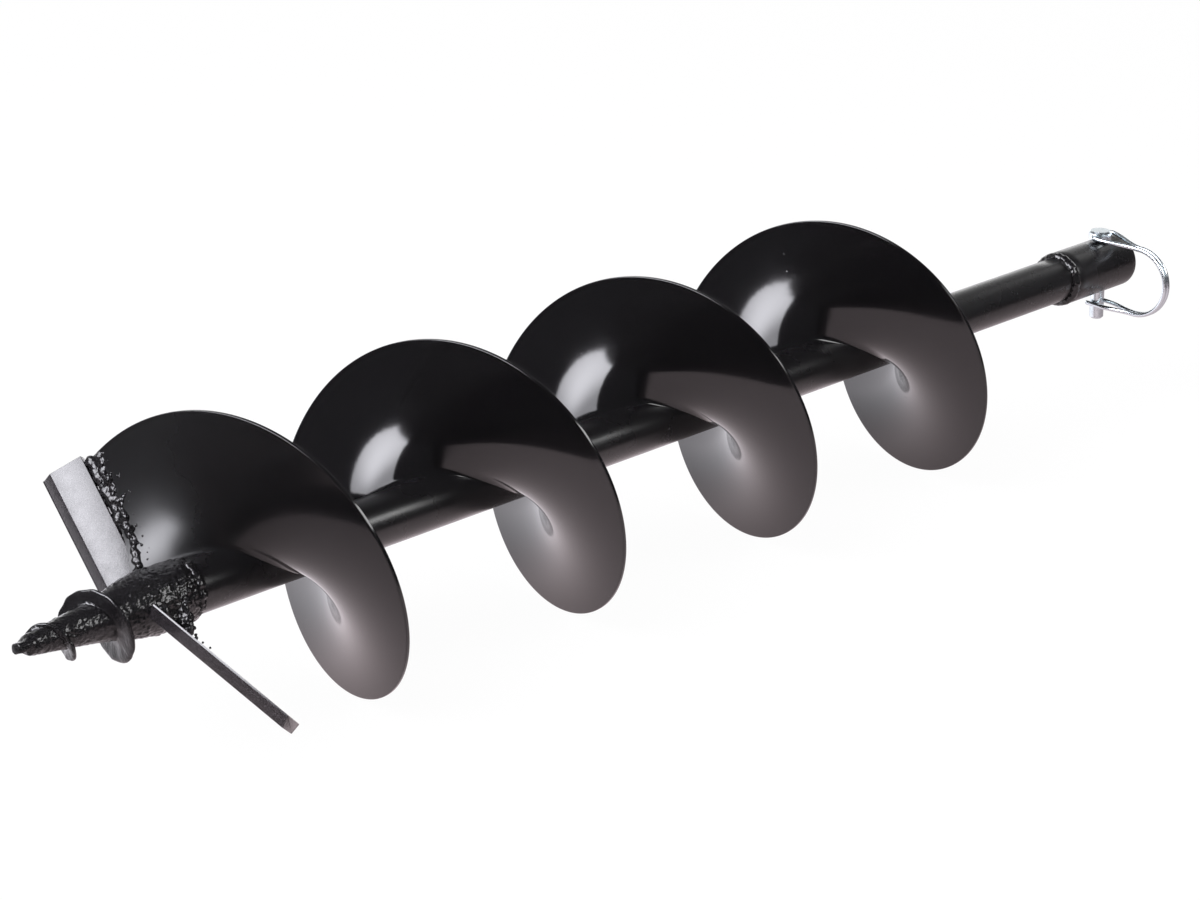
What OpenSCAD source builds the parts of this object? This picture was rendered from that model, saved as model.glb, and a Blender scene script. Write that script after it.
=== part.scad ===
// Earth auger bit for a hand-held power digger: a steel tube with a helical flight, a pilot
// screw and two cutter blades at the digging end, and a pinned drive socket at the other.
// The bit lies along X with its pilot towards -X. The origin is on the axis at the socket mouth.

/* [Tube and drive socket] */
// Length from the pilot's tip to the socket mouth
auger_length = 800; // [780:5:900]
// Outer diameter of the central tube
tube_od = 25; // [24.5:0.1:26]
// Bore of the tube, which takes the drive shaft at the mouth
socket_bore = 20; // [19:0.1:20.4]
// Outer diameter of the reinforcing sleeve over the tube's end
sleeve_od = 30; // [29:0.1:31]
// Length of the sleeve
sleeve_length = 56; // [50:1:70]
// Distance of the cross pin from the mouth
pin_setback = 16; // [15:0.5:20]

/* [Flight] */
// Diameter of the hole that the flight cuts
flight_od = 150; // [140:1:160]
// Lead of the helix in one turn
flight_pitch = 140.5; // [120:0.5:150]
// Plate thickness of the flight
flight_plate = 1.8; // [1.5:0.1:3]

/* [Pilot] */
// Lead of the small screw on the pilot
pilot_pitch = 25.5; // [20:0.5:30]
// Largest radius of the pilot hub
hub_radius = 15; // [14:0.1:16]
// How far the tube sits in the pilot hub
hub_socket_depth = 30; // [20:1:35]

/* [Cutter blades] */
// Width of the flat bar that the blades are cut from
blade_width = 21.3; // [18:0.1:25]
// Thickness of the bar
blade_thick = 5.3; // [4:0.1:8]
// Width of the ground bevel on the leading edge
blade_bevel = 5.3; // [3:0.1:7]

/* [Lock pin] */
// Diameter of the cross pin
pin_d = 8; // [7:0.1:9]
// Diameter of the pin's head
pin_head_d = 13; // [12:0.1:14]
// Height of the pin's head
pin_head_h = 5.2; // [5:0.1:8]
// How far the pin's tip stands below the axis
pin_reach = 31.5; // [30:0.5:36]
// Diameter of the spring wire of the bail
wire_d = 2.5; // [2:0.1:2.6]

/* [Hidden] */
$fn = 96;

paint = "#17171a";
zinc = "#b9c0c4";

tube_r = tube_od / 2;
bore_r = socket_bore / 2;
sleeve_r = sleeve_od / 2;
flight_r = flight_od / 2;
pin_r = pin_d / 2;
wire_r = wire_d / 2;

// The digging end, measured back from the mouth
tip_x = -auger_length;
hub_rear_x = tip_x + 98;
hub_rear_r = hub_radius - 1.6;
hub_rear_round = min(1.2, hub_rear_r - tube_r - 0.1);
tube_front_x = hub_rear_x - hub_socket_depth;

// Clearances and small details of the socket end
pin_clearance = 0.1;
relief_depth = 0.4;
relief_half = 5;
mouth_chamfer = 0.6;
sleeve_weld_leg = 4.4;

// The helix passes through helix_x0 at angle 0; angles run from +Y over +Z
helix_x0 = tip_x + 78.8;
rim_start = 37.5;
first_seam = 347.5;
step_angle = 5;
turn_steps = 360 / step_angle;
// The lower cut edge of the flight is a chord, square to this angle and this far off the axis
cut_angle = 47;
cut_offset = 15;
flight_root_r = tube_r - 0.15;

function helix_x(a) = helix_x0 + flight_pitch * a / 360;
function slope_thick(r) = flight_plate * sqrt(1 + pow(flight_pitch / (2 * PI * r), 2));
function polar(a, r) = [r * cos(a), r * sin(a)];
function unit(v) = v / norm(v);
function smooth(t) = let(u = min(max(t, 0), 1)) u * u * (3 - 2 * u);
function lerp(a, b, t) = a + (b - a) * t;

// Closed shell over a grid of rows, each row a closed loop of the same number of points that
// runs clockwise as seen from the next row. Both faces of a plate get the same diagonals.
module skin(rows) {
    n = len(rows[0]);
    m = len(rows);
    points = [for (row = rows) for (p = row) p];
    sides = [for (i = [0 : m - 2]) for (j = [0 : n - 1])
        let(k = (j + 1) % n, a = i * n + j, b = i * n + k, c = a + n, d = b + n)
        each (j < n / 2 ? [[a, b, d], [a, d, c]] : [[a, b, c], [b, d, c]])];
    end = (m - 1) * n;
    caps = [for (j = [0 : n / 2 - 2]) let(k = n - 1 - j) each [
        [j + 1, j, k], [k - 1, j + 1, k],
        [end + j, end + j + 1, end + k], [end + j + 1, end + k - 1, end + k]]];
    polyhedron(points, concat(sides, caps));
}

// A profile of [distance along X, radius] points turned about the X axis
module turned(profile) {
    rotate([0, 90, 0]) rotate_extrude() polygon([for (p = profile) [p[1], p[0]]]);
}

module rod_x(r, x0, x1) {
    translate([x0, 0, 0]) rotate([0, 90, 0]) cylinder(r = r, h = x1 - x0);
}

module pin_hole() {
    translate([-pin_setback, 0, 0])
        cylinder(r = pin_r + pin_clearance, h = 2 * sleeve_od, center = true);
}

// ---- Tube and socket ----

// Drawn tube, open at the mouth; a shallow relief keeps burrs of the pin hole off the shaft
module main_tube() {
    relief_x = -pin_setback - relief_half;
    color(paint) difference() {
        rod_x(tube_r, tube_front_x, 0);
        rod_x(bore_r, tube_front_x - 1, 1);
        rod_x(bore_r + relief_depth, relief_x, relief_x + 2 * relief_half);
        pin_hole();
    }
}

// Sleeve welded over the tube's end, cross-drilled with it
module coupling_sleeve() {
    c = mouth_chamfer;
    color(paint) difference() {
        turned([[-sleeve_length, tube_r], [0, tube_r], [0, sleeve_r - c], [-c, sleeve_r],
            [-sleeve_length, sleeve_r]]);
        pin_hole();
    }
}

// Fillet weld that closes the sleeve's rear step
module sleeve_weld() {
    x = -sleeve_length;
    leg = sleeve_weld_leg;
    color(paint) turned([[x, tube_r], [x, sleeve_r], [x - leg * 0.35, sleeve_r - 0.5],
        [x - leg * 0.75, tube_r + 1.1], [x - leg * 1.3, tube_r + 0.2],
        [x - leg * 1.4, tube_r]]);
}

// ---- Flight ----

// Four corners of the plate's section along one cut line, from the root to the rim and back
function flight_loop(angles, radii) = concat(
    [for (j = [0 : len(radii) - 1])
        let(a = angles[j], r = radii[j], q = polar(a, r))
        [helix_x(a) - slope_thick(r) / 2, q[0], q[1]]],
    [for (j = [len(radii) - 1 : -1 : 0])
        let(a = angles[j], r = radii[j], q = polar(a, r))
        [helix_x(a) + slope_thick(r) / 2, q[0], q[1]]]);

// Whole turns are ruled from root to rim along radial lines
module flight_turn(a0, a1) {
    steps = round((a1 - a0) / step_angle);
    radii = [flight_root_r, 23, 42, flight_r];
    color(paint) skin([for (i = [0 : steps])
        let(a = lerp(a0, a1, i / steps)) flight_loop([a, a, a, a], radii)]);
}

// The first turn starts along the chord where the blade is welded on
module flight_turn_1() {
    steps = round((first_seam - rim_start) / step_angle);
    radii = [flight_root_r, cut_offset + 0.5, 25, 43, flight_r];
    reach = flight_r;
    chord = [for (r = radii) cut_angle - asin(min(1, cut_offset / r))];
    shift = rim_start - (cut_angle - asin(cut_offset / reach));
    color(paint) skin([for (i = [0 : steps])
        flight_loop([for (c = chord) lerp(c + shift, first_seam, i / steps)], radii)]);
}

module flight_turn_2() { flight_turn(first_seam, first_seam + 360); }
module flight_turn_3() { flight_turn(first_seam + 360, first_seam + 720); }
module flight_turn_4() { flight_turn(first_seam + 720, first_seam + 1080); }

// Butt welds between neighbouring turns, ground low: a flat bead that straddles the joint
module flight_seam_welds() {
    bead_half = 2.6;
    rise = 0.5;
    radii = [tube_r - 0.1, 30, 52, flight_r - 0.4];
    color(paint) for (k = [0 : 2]) {
        a = first_seam + 360 * k;
        skin([for (r = radii)
            let(da = asin(bead_half / r), t = slope_thick(r) / 2) [
                for (c = [[-1, 0.8], [0, 1], [1, 0.8], [1, -0.8], [0, -1], [-1, -0.8]])
                    let(q = polar(a + c[0] * da, r), crown = c[0] == 0 ? rise : 0)
                    [helix_x(a + c[0] * da) + c[1] * (t + crown), q[0], q[1]]]]);
    }
}

// Stitch welds at the root, on the side of the flight that faces the socket
module root_stitches(a0, a1, count) {
    stitch = 52;
    leg = 3.2;
    rings = 8;
    color(paint) for (k = [0 : count - 1]) {
        mid = lerp(a0, a1, (k + 0.5) / count);
        skin([for (i = [0 : rings])
            let(a = mid + stitch * (i / rings - 0.5),
                s = leg * (0.35 + 0.65 * sqrt(sin(180 * (i + 0.25) / (rings + 0.5)))),
                x = helix_x(a) + slope_thick(tube_r) / 2)
            [for (c = [[-1.2, s], [-0.3, s], [s * 0.45, s * 0.5], [s * 1.15, 0.35],
                [s * 1.25, -0.4], [-1.2, -0.4]])
                let(q = polar(a, tube_r + c[1])) [x + c[0], q[0], q[1]]]]);
    }
}

module root_weld_1() { root_stitches(rim_start + 20, first_seam - 10, 3); }
module root_weld_2() { root_stitches(first_seam, first_seam + 360, 3); }
module root_weld_3() { root_stitches(first_seam + 360, first_seam + 720, 3); }
module root_weld_4() { root_stitches(first_seam + 720, first_seam + 1080, 3); }

// ---- Pilot ----

// Radius of the pilot at a distance from its tip
taper = [[0, 1.2], [3, 3.2], [8, 4.6], [15, 5.7], [31, 7.6], [48, 10.3], [62, hub_radius - 1.3],
    [70, hub_radius], [80, hub_radius - 0.3], [90, hub_radius - 1.2]];
function taper_r(d) = lookup(d, taper);

// Outline of the pilot from its tip to the rounded rear edge of the hub
hub_outline = let(c = hub_rear_round) concat(
    [[tip_x, 0]],
    [for (p = taper) [tip_x + p[0], p[1]]],
    [for (a = [90 : -15 : 0])
        [hub_rear_x - c + c * cos(a), hub_rear_r - c + c * sin(a)]]);

// Forged pilot: a spade-ended taper that swells into a hub, bored to seat on the tube
module pilot_point() {
    spade_half = 1.7;
    spade_length = 9;
    color(paint) difference() {
        turned(concat(hub_outline,
            [[hub_rear_x, tube_r], [tube_front_x, tube_r], [tube_front_x - 4, 0]]));
        for (s = [-1, 1])
            rotate([-20, 0, 0])
                translate([tip_x - 1, -10, s > 0 ? spade_half : -10 - spade_half])
                    cube([spade_length + 1, 20, 10]);
    }
}

// Small right-hand screw that grows from the tip towards the blades: [angle, edge radius]
screw_edge = [[-40, 3], [0, 4.2], [150, 7.5], [280, 14], [450, 14.4], [640, 22.4], [720, 23]];

module pilot_screw() {
    start = -40;
    finish = 720;
    steps = 76;
    x0 = tip_x + 8.7;
    root_thick = 3.4;
    edge_thick = 1.5;
    color(paint) skin([for (i = [0 : steps])
        let(a = lerp(start, finish, i / steps),
            x = x0 + pilot_pitch * a / 360,
            root = taper_r(x - tip_x) - 0.3,
            fade = sqrt(min(1, (i + 1) / 12)) * min(1, 0.25 + (steps - i) / 7),
            edge = root + 0.4 + max(0, lookup(a, screw_edge) - root - 0.4) * fade,
            p = polar(a, root), q = polar(a, edge))
        [[x - root_thick / 2, p[0], p[1]], [x - edge_thick / 2, q[0], q[1]],
            [x + edge_thick / 2, q[0], q[1]], [x + root_thick / 2, p[0], p[1]]]]);
}

// Weld run round the rear of the hub, where the tube enters it
module pilot_hub_weld() {
    x = hub_rear_x;
    r = hub_rear_r;
    color(paint) turned([[x - 4, r - 0.4], [x - 2.6, r + 0.5], [x - 0.6, r + 0.4],
        [x + 1.4, r - 0.3], [x + 3, tube_r + 0.3], [x + 4.2, tube_r], [x, tube_r],
        [x - 2.4, r - 0.5]]);
}

// ---- Cutter blades ----

// Where each blade stands: [x of its heel, angle about the axis, offset from the axis,
// rearward slant, pitch, reach along the blade]
blade_a = [tip_x + 85.9, 46.7, 14.55, 3.2, 40.4, 77.7];
blade_b = [tip_x + 70.7, 208.7, -5.1, 10.6, 46.6, 85.6];
nose_from = 36;
nose_turn = 14;

module at_blade(b) {
    translate([b[0], 0, 0]) rotate([b[1], 0, 0]) translate([0, 0, -b[2]])
        rotate([0, 0, -b[3]]) rotate([0, b[4], 0]) children();
}

// Cuts the chisel bevel off a bar that lies along Y, with its leading edge at -Z
module bevel_cut(y0, y1) {
    block = 20;
    translate([0, y0, blade_bevel - blade_width])
        rotate([0, atan2(blade_bevel, blade_thick), 0])
            translate([-block, 0, -block]) cube([2 * block, y1 - y0, block]);
}

// Blade on the flight's lower edge; its nose is swept back next to the pilot
module cutter_blade_a() {
    nose_length = 30;
    nose_dir = [cos(nose_turn), -sin(nose_turn)];
    nose_tip = [nose_from, -blade_width] - nose_length * nose_dir;
    nose_rear = nose_tip + blade_width * [sin(nose_turn), cos(nose_turn)];
    heel = nose_rear + nose_dir * nose_rear[1] / sin(nose_turn);
    color(paint) at_blade(blade_a) difference() {
        rotate([90, 0, 90]) linear_extrude(height = blade_thick)
            polygon([[blade_a[5], 0], heel, nose_rear, nose_tip, [nose_from, -blade_width],
                [blade_a[5], -blade_width]]);
        bevel_cut(0, blade_a[5] + 1);
        translate([0, nose_from, -blade_width]) rotate([-nose_turn, 0, 0])
            translate([0, 0, blade_width]) bevel_cut(-nose_length - 5, 5);
    }
}

// Opposite blade, butted on the hub
module cutter_blade_b() {
    color(paint) difference() {
        at_blade(blade_b) difference() {
            translate([0, 9, -blade_width]) cube([blade_thick, blade_b[5] - 9, blade_width]);
            bevel_cut(8, blade_b[5] + 1);
        }
        turned(concat(hub_outline, [[hub_rear_x, 0]]));
    }
}

// Bead between blade A and the flight
module cutter_weld_a() {
    bead_r = 4.4;
    bead_length = blade_a[5] - 16;
    color(paint) at_blade(blade_a) translate([2.4, 12, 3]) {
        rotate([-90, 0, 0]) cylinder(r = bead_r, h = bead_length);
        sphere(r = bead_r);
        translate([0, bead_length, 0]) sphere(r = bead_r * 0.98);
    }
}

// Weld mass in the corner between blade B and the hub, given as [place on the blade, radius]
module cutter_weld_b() {
    t = blade_thick;
    color(paint) hull() at_blade(blade_b) {
        for (ball = [[[t, 12, -14], 3], [[t + 0.5, 23, -5], 2.6], [[t + 5, 19, -4], 3.2],
                [[t + 9, 13, -3], 3]])
            translate(ball[0]) sphere(r = ball[1], $fn = 16);
    }
}

// Bead where the inner end of blade A meets the hub
module cutter_hub_weld() {
    t = blade_thick;
    color(paint) hull() at_blade(blade_a) {
        for (ball = [[[t / 2, 8, -4], 3.2], [[t / 2, 8, -12], 2.6], [[2, 10, 7], 3.6]])
            translate(ball[0]) sphere(r = ball[1], $fn = 16);
    }
}

// ---- Lock pin and bail ----

head_seat_z = sleeve_r + 0.2;
hinge_z = head_seat_z + 2.5;
hinge_clearance = 0.03;
stub_r = wire_r - 0.1;

// Zinc-plated cross pin with a drilled disc head
module lock_pin() {
    c = 1;
    color(zinc) translate([-pin_setback, 0, 0]) difference() {
        rotate_extrude() polygon([[0, -pin_reach], [pin_r - c, -pin_reach],
            [pin_r, -pin_reach + c], [pin_r, head_seat_z], [pin_head_d / 2 - 0.4, head_seat_z],
            [pin_head_d / 2, head_seat_z + 0.4], [pin_head_d / 2, head_seat_z + pin_head_h - c],
            [pin_head_d / 2 - c, head_seat_z + pin_head_h], [0, head_seat_z + pin_head_h]]);
        translate([0, 0, hinge_z]) rotate([0, 90, 0])
            cylinder(r = wire_r + hinge_clearance, h = pin_head_d + 2, center = true);
    }
}

// Centre line of one half of the bail: out of the head, round the loop and back past the tip
loop_y = -26.6;
loop_z = -5;
loop_r = 19.2;
loop_turn = 184.5;
elbow_r = 2.4;
elbow_x = pin_head_d / 2 + 0.2;
strand_x = elbow_x + elbow_r;
pair_x = wire_r + 0.2;
fork_x = pin_r + wire_r + 0.35;
fork_reach = 3.4;

function strand_top(y) = lerp(strand_x, pair_x, smooth((-elbow_r - y) / (-elbow_r - loop_y)));
function strand_foot(y) = lerp(pair_x, fork_x, smooth((y - loop_y - 2) / 20));
loop_top = [loop_y, loop_z + loop_r];
loop_end = [loop_y - loop_r * sin(-loop_turn), loop_z + loop_r * cos(loop_turn)];
foot_slope = tan(loop_turn - 180);

bail_path = concat(
    [[elbow_x - 0.6, 0, hinge_z]],
    [for (a = [0 : 22.5 : 90])
        [elbow_x + elbow_r * sin(a), -elbow_r * (1 - cos(a)), hinge_z]],
    [for (i = [1 : 5]) let(y = lerp(-elbow_r, loop_y, i / 6))
        [strand_top(y), y, lerp(hinge_z, loop_top[1], i / 6)]],
    [for (a = [0 : 15.5 : loop_turn])
        [pair_x, loop_y - loop_r * sin(a), loop_z + loop_r * cos(a)]],
    [for (i = [1 : 7]) let(y = lerp(loop_y + 2, fork_reach, i / 7))
        [strand_foot(y), y, loop_z - loop_r * cos(loop_turn - 180)
            + (y - loop_y - loop_r * sin(loop_turn - 180)) * foot_slope]]);

// Round wire swept along a path, with each ring's normal carried on from the ring before
module wire(path, r, sides) {
    last = len(path) - 1;
    t = [for (i = [0 : last]) unit(path[min(i + 1, last)] - path[max(i - 1, 0)])];
    normals = [for (i = 0, n = [0, 0, 1]; i <= last;
        n = unit(n - (n * t[min(i + 1, last)]) * t[min(i + 1, last)]), i = i + 1) n];
    skin([for (i = [0 : last]) let(n = normals[i], b = cross(t[i], n))
        [for (j = [0 : sides - 1]) let(q = polar(-360 * j / sides, r))
            path[i] + n * q[0] + b * q[1]]]);
}

// One spring wire through the head, bent double into a loop whose ends straddle the pin
module bail_wire() {
    color(zinc) translate([-pin_setback, 0, 0]) {
        translate([0, 0, hinge_z]) rotate([0, 90, 0])
            cylinder(r = stub_r, h = 2 * elbow_x + 0.6, center = true);
        wire(bail_path, wire_r, 10);
        mirror([1, 0, 0]) wire(bail_path, wire_r, 10);
    }
}

main_tube();
coupling_sleeve();
sleeve_weld();
flight_turn_1();
flight_turn_2();
flight_turn_3();
flight_turn_4();
flight_seam_welds();
root_weld_1();
root_weld_2();
root_weld_3();
root_weld_4();
pilot_point();
pilot_screw();
pilot_hub_weld();
cutter_blade_a();
cutter_blade_b();
cutter_weld_a();
cutter_weld_b();
cutter_hub_weld();
lock_pin();
bail_wire();
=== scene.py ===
import math
import random

import bmesh
import bpy
from mathutils import Matrix, Vector, noise


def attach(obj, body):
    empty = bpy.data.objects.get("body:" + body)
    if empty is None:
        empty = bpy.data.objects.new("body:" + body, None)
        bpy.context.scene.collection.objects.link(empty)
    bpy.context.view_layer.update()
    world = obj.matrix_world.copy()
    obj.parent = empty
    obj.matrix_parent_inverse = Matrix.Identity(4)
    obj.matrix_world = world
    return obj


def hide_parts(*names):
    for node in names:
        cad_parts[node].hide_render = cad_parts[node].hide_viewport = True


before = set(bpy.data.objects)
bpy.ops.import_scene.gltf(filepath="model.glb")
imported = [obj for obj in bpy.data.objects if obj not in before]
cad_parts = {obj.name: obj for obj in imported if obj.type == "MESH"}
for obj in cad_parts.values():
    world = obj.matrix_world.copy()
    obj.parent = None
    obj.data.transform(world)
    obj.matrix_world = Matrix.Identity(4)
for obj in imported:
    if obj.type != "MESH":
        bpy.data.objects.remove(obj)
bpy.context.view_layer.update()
scene = bpy.context.scene
scene.view_settings.view_transform = "Standard"


# ---- Where it is seen from ----
# The bit lies on its side, and is looked at from the pilot's end, a little from above.
def linked(name, data):
    """Makes an object of its data and puts it in the scene."""
    made = bpy.data.objects.new(name, data)
    scene.collection.objects.link(made)
    return made


camera_data = bpy.data.cameras.new("camera")
camera_data.lens = 101.3
camera_data.sensor_width = 36
camera = linked("camera", camera_data)
camera.location = (-1.5913, -1.0407, 0.5270)
aim = Vector((0.70124, 0.63500, -0.32411))
camera.rotation_euler = aim.to_track_quat("-Z", "Y").to_euler()
scene.camera = camera


# ---- Floor, backdrop and lamps ----
# White paper on a table in a dim room. A tall soft box stands beyond the pilot and a lit
# sweep behind the bit. A long box on the near side and one at the socket end fill in.
def srgb(code):
    """The linear colour of an sRGB hex code."""
    channels = [int(code[i:i + 2], 16) / 255 for i in (1, 3, 5)]
    return tuple(c / 12.92 if c <= 0.04045 else ((c + 0.055) / 1.055) ** 2.4
                 for c in channels) + (1,)


def new_material(name):
    """An empty material and its node tree."""
    material = bpy.data.materials.new(name)
    material.use_nodes = True
    material.node_tree.nodes.clear()
    return material, material.node_tree


def add(tree, kind, inputs={}, **options):
    """Adds a node; each input is given as a value or as the socket that feeds it."""
    made = tree.nodes.new("ShaderNode" + kind)
    for option, value in options.items():
        setattr(made, option, value)
    for socket, value in inputs.items():
        if isinstance(value, bpy.types.NodeSocket):
            tree.links.new(value, made.inputs[socket])
        else:
            made.inputs[socket].default_value = value
    return made


def piece_from(bm, name, smooth_angle=None):
    """Turns a finished bmesh into an object that shades smoothly below an angle."""
    mesh = bpy.data.meshes.new(name)
    bm.to_mesh(mesh)
    bm.free()
    mesh.shade_smooth()
    if smooth_angle:
        mesh.set_sharp_from_angle(angle=math.radians(smooth_angle))
    return linked(name, mesh)


floor_z = -0.0751
floor_radius = 7
middle = Vector((-0.4, 0, floor_z))
bm = bmesh.new()
bmesh.ops.create_circle(bm, cap_ends=True, segments=96, radius=floor_radius)
bmesh.ops.translate(bm, verts=bm.verts, vec=middle)
floor = piece_from(bm, "floor")

# Seen directly, the paper is blown out white and keeps a trace of the bit's shadow.
blown_out = 0.97
floor_paper, tree = new_material("matt white paper")
paths = add(tree, "LightPath")
seen = add(tree, "Math", {0: paths.outputs["Is Camera Ray"],
                          1: paths.outputs["Is Transmission Ray"]}, operation="MAXIMUM")
plain = add(tree, "Emission", {"Color": (1, 1, 1, 1), "Strength": 1.0})
paper = add(tree, "BsdfDiffuse", {"Color": srgb("#f4f2f1")})
share = add(tree, "Math", {0: seen.outputs[0], 1: blown_out}, operation="MULTIPLY")
direct = add(tree, "MixShader", {0: share.outputs[0], 1: paper.outputs[0], 2: plain.outputs[0]})


# Mirrored in the enamel, the paper ends just beyond the pilot and on the near side, dims
# towards the socket, and is lit most on the far side.
place = add(tree, "SeparateXYZ", {0: add(tree, "TexCoord").outputs["Object"]})
lit = 1.0
for axis, start, end, low, high in (("X", -0.98, -0.58, 0.1, 1), ("X", -0.3, 0.2, 1, 0.45),
                                    ("Y", -0.36, -0.2, 0.1, 1), ("Y", -0.03, 0.04, 1.02, 1.35),
                                    ("Y", 0.05, 0.25, 1, 1.8)):
    step = add(tree, "MapRange", {"Value": place.outputs[axis], "From Min": start,
                                  "From Max": end, "To Min": low, "To Max": high},
               interpolation_type="SMOOTHSTEP")
    lit = add(tree, "Math", {0: lit, 1: step.outputs[0]}, operation="MULTIPLY").outputs[0]
far = add(tree, "MapRange", {"Value": place.outputs["Y"], "From Min": -0.02, "From Max": 0.14,
                             "To Min": 0, "To Max": 1}, interpolation_type="SMOOTHSTEP")
hue = add(tree, "Mix", {"Factor": far.outputs[0], "A": srgb("#ffeef2"), "B": srgb("#fbf8ff")},
          data_type="RGBA")
mirrored = add(tree, "Emission", {"Color": hue.outputs["Result"], "Strength": lit})
both = add(tree, "MixShader", {0: paths.outputs["Is Glossy Ray"], 1: direct.outputs[0],
                               2: mirrored.outputs[0]})
add(tree, "OutputMaterial", {"Surface": both.outputs[0]})
floor.data.materials.append(floor_paper)

# The sweep is brightest near the table, and fades upwards and towards its two ends.
sweep_radius, sweep_height = 6.4, 7.5
sweep_start, sweep_turn = math.radians(-20), math.radians(150)
bm = bmesh.new()
foot = bm.verts.new((sweep_radius, 0, 0))
top = bm.verts.new((sweep_radius, 0, sweep_height))
edge = bm.edges.new((foot, top))
bmesh.ops.rotate(bm, verts=bm.verts, cent=(0, 0, 0), matrix=Matrix.Rotation(sweep_start, 3, "Z"))
bmesh.ops.spin(bm, geom=[foot, top, edge], cent=(0, 0, 0), axis=(0, 0, 1), angle=sweep_turn,
               steps=48)
bmesh.ops.translate(bm, verts=bm.verts, vec=middle)
sweep = piece_from(bm, "sweep")
sweep_paper, tree = new_material("lit white sweep")
place = add(tree, "SeparateXYZ", {0: add(tree, "TexCoord").outputs["Object"]})
fade_height, foot_level = 2.2, 2.3
fade = add(tree, "Math", {0: place.outputs["Z"], 1: -1 / fade_height}, operation="MULTIPLY")
fade = add(tree, "Math", {0: fade.outputs[0]}, operation="EXPONENT")
level = add(tree, "Math", {0: fade.outputs[0], 1: foot_level}, operation="MULTIPLY").outputs[0]
for axis, start, end in (("X", -3.4, -1.8), ("Y", -1.5, 1.8)):
    step = add(tree, "MapRange", {"Value": place.outputs[axis], "From Min": start,
                                  "From Max": end, "To Min": 0.05, "To Max": 1},
               interpolation_type="SMOOTHSTEP")
    level = add(tree, "Math", {0: level, 1: step.outputs[0]}, operation="MULTIPLY").outputs[0]
paths = add(tree, "LightPath")
level = add(tree, "Mix", {"Factor": paths.outputs["Is Camera Ray"], "A": level, "B": 1.0},
            data_type="FLOAT")
glow = add(tree, "Emission", {"Color": (1, 1, 1, 1), "Strength": level.outputs[0]})
add(tree, "OutputMaterial", {"Surface": glow.outputs[0]})
sweep.data.materials.append(sweep_paper)

world = bpy.data.worlds.new("dim room")
scene.world = world
world.use_nodes = True
room = world.node_tree.nodes["Background"]
room.inputs["Color"].default_value = srgb("#5c5c60")
room.inputs["Strength"].default_value = 0.9

# The main box is a tall panel with rounded corners, seen askew, with a strip of tubes across
# it that is brightest near the lower corner.
box_x = -2.3
corners = [(-0.56, 0.33), (2.6, 2.25), (2.6, 4.6), (-1.3, 4.6)]
corner_radius = 0.36
strip, strip_reach = Vector((0, 0.62, 0.79)), 1.35
across, across_reach = Vector((0, -0.79, 0.62)), 0.5
hottest = Vector((box_x, 0.10, 1.29))
cloth_level, tube_level = 6.0, 11.5
bm = bmesh.new()
bm.faces.new([bm.verts.new((box_x, y, z)) for y, z in corners])
bmesh.ops.bevel(bm, geom=bm.verts[:], offset=corner_radius, segments=10, profile=0.5,
                affect="VERTICES", material=-1)
main_box = piece_from(bm, "main soft box")
main_box.visible_camera = False
diffuser, tree = new_material("glowing diffuser")
place = add(tree, "VectorMath", {0: add(tree, "TexCoord").outputs["Object"], 1: hottest},
            operation="SUBTRACT")
fall = 0.0
for axis, reach in ((strip, strip_reach), (across, across_reach)):
    apart = add(tree, "VectorMath", {0: place.outputs[0], 1: axis / reach},
                operation="DOT_PRODUCT").outputs["Value"]
    square = add(tree, "Math", {0: apart, 1: apart}, operation="MULTIPLY")
    fall = add(tree, "Math", {0: square.outputs[0], 1: -0.5, 2: fall},
               operation="MULTIPLY_ADD").outputs[0]
hot = add(tree, "Math", {0: fall}, operation="EXPONENT")
level = add(tree, "Math", {0: hot.outputs[0], 1: tube_level, 2: cloth_level},
            operation="MULTIPLY_ADD")
glow = add(tree, "Emission", {"Color": srgb("#f4f4fb"), "Strength": level.outputs[0]})
add(tree, "OutputMaterial", {"Surface": glow.outputs[0]})
main_box.data.materials.append(diffuser)


def soft_box(name, place, target, width, height, radiance):
    """An oval lamp whose face looks as bright as its radiance says, whatever its size."""
    lamp = bpy.data.lights.new(name, "AREA")
    lamp.shape = "ELLIPSE"
    lamp.size = width
    lamp.size_y = height
    lamp.energy = math.pi * radiance * math.pi / 4 * width * height
    box = linked(name, lamp)
    box.location = place
    box.rotation_euler = (Vector(target) - Vector(place)).to_track_quat("-Z", "Y").to_euler()
    box.visible_camera = False


soft_box("long soft box on the near side", (-0.05, -0.9, 0.52), (-0.6, 0, 0), 1.0, 0.32, 7.5)
soft_box("soft box at the socket end", (1.8, 0, 0.8), (-0.3, 0, 0), 0.9, 0.9, 1.5)


# ---- Flight ----
# Right-hand helical flight of 1.8 mm mild steel plate, pressed one turn at a time from flat
# rings and welded to the tube edge on. The lower end is cut along a chord for a blade.
mm = 0.001
pitch = 140.5 * mm
helix_start = -721.2 * mm
plate = 1.8 * mm
tube_radius = 12.5 * mm
rim_radius = 75 * mm
root_lean = 8 * mm
first_seam = 347.5
chord_angle = -40.96
chord_offset = 15 * mm


def helix_x(angle):
    """Where the flight's middle is along the axis; angles are in degrees throughout."""
    return helix_start + pitch * angle / 360


def ease(t):
    """A soft step from 0 to 1."""
    t = min(max(t, 0), 1)
    return t * t * (3 - 2 * t)


def plate_x(angle, radius):
    """Where the plate lies: it leans, with its root pulled towards the pilot, except at the
    lower end, where the blade holds it square."""
    lean = root_lean * (rim_radius - radius) / (rim_radius - tube_radius)
    return helix_x(angle) - lean * ease((angle - 50) / 130)


def slope_thick(radius):
    """The plate's thickness measured along the axis, which grows as the slope does."""
    return plate * math.sqrt(1 + (pitch / (2 * math.pi * radius)) ** 2)


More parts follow.
